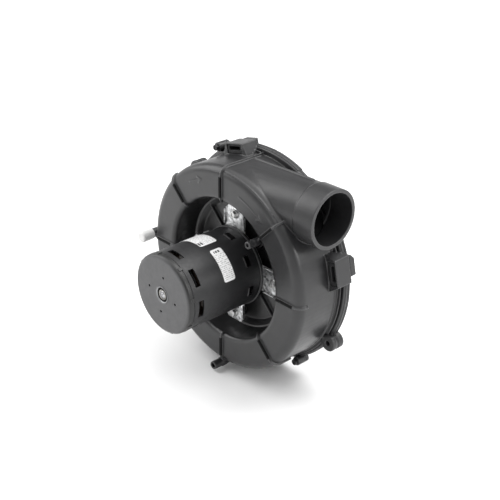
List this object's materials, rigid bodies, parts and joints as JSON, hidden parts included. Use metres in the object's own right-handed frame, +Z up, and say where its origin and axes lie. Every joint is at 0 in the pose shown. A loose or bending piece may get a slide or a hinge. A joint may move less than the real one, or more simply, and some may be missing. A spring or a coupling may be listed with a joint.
{
  "type": "combustion fan",
  "caption": "Draft inducer blower: ring-shaped plastic volute with a tapered side outlet, can motor on a cross bracket in its well, and a finned wheel behind.",
  "frame": {"origin": "centre of the round inlet at the rear mounting face, on the shaft axis", "axes": "+Y along the shaft from the motor towards the mounting face, +X along the outlet duct, +Z up"},
  "size_m": [0.2496, 0.1504, 0.2471],
  "materials": {
    "housing_plastic": "black glass-filled polypropylene, satin moulded skin",
    "cover_plastic": "black glass-filled polypropylene",
    "seal_rubber": "silicone cord",
    "gasket_foam": "closed-cell sponge",
    "screw_black": "black zinc plate",
    "screw_zinc": "bright zinc plate",
    "isolator_rubber": "moulded rubber",
    "cap_vinyl": "soft white vinyl",
    "motor_end_paint": "satin grey-black paint on drawn steel",
    "motor_shell_paint": "semi-gloss black paint on rolled steel",
    "bell_paint": "semi-gloss black paint on drawn steel",
    "lamination_steel": "varnished electrical steel",
    "copper_wire": "varnished magnet wire",
    "bearing_bronze": "oil-filled sintered bronze",
    "spring_steel": "spring steel",
    "oil_felt": "oiled wool felt",
    "label_film": "white polyester sticker",
    "galvanised_sheet": "spangled galvanised steel",
    "grommet_rubber": "moulded rubber",
    "seal_silicone": "red silicone",
    "shaft_steel": "ground steel",
    "rotor_iron": "laminated steel with cast aluminium end rings",
    "fan_nylon": "black nylon",
    "slinger_aluminium": "pressed aluminium",
    "wheel_steel": "aluminised steel",
    "hub_brass": "turned brass",
    "hub_screw_steel": "black oxide"
  },
  "bodies": {
    "frame": {"volute_housing": "housing_plastic", "rear_cover": "cover_plastic", "cover_seal": "seal_rubber", "inlet_gasket": "gasket_foam", "cover_screws": "screw_black", "top_foot_isolator": "isolator_rubber", "side_foot_isolator": "isolator_rubber", "drain_cap": "cap_vinyl", "motor_end_cap": "motor_end_paint", "motor_shell": "motor_shell_paint", "motor_rear_bell": "bell_paint", "stator_core": "lamination_steel", "stator_windings": "copper_wire", "front_bearing": "bearing_bronze", "rear_bearing": "bearing_bronze", "front_bearing_retainer": "spring_steel", "rear_bearing_retainer": "spring_steel", "front_oil_felt": "oil_felt", "rear_oil_felt": "oil_felt", "top_label": "label_film", "side_label": "label_film", "motor_bracket": "galvanised_sheet", "bracket_screws": "screw_zinc", "bracket_grommets": "grommet_rubber", "motor_screws": "screw_zinc", "shaft_seal": "seal_silicone"},
    "rotor": {"motor_shaft": "shaft_steel", "rotor_core": "rotor_iron", "motor_cooling_fan": "fan_nylon", "slinger_disc": "slinger_aluminium", "impeller_wheel": "wheel_steel", "impeller_hub": "hub_brass", "impeller_hub_screw": "hub_screw_steel"}
  },
  "joints": [
    {"name": "rotor_spin", "type": "hinge", "parent": "frame", "child": "rotor", "pos_m": [0, 0, 0], "axis": [0, 1, 0], "continuous": true}
  ]
}
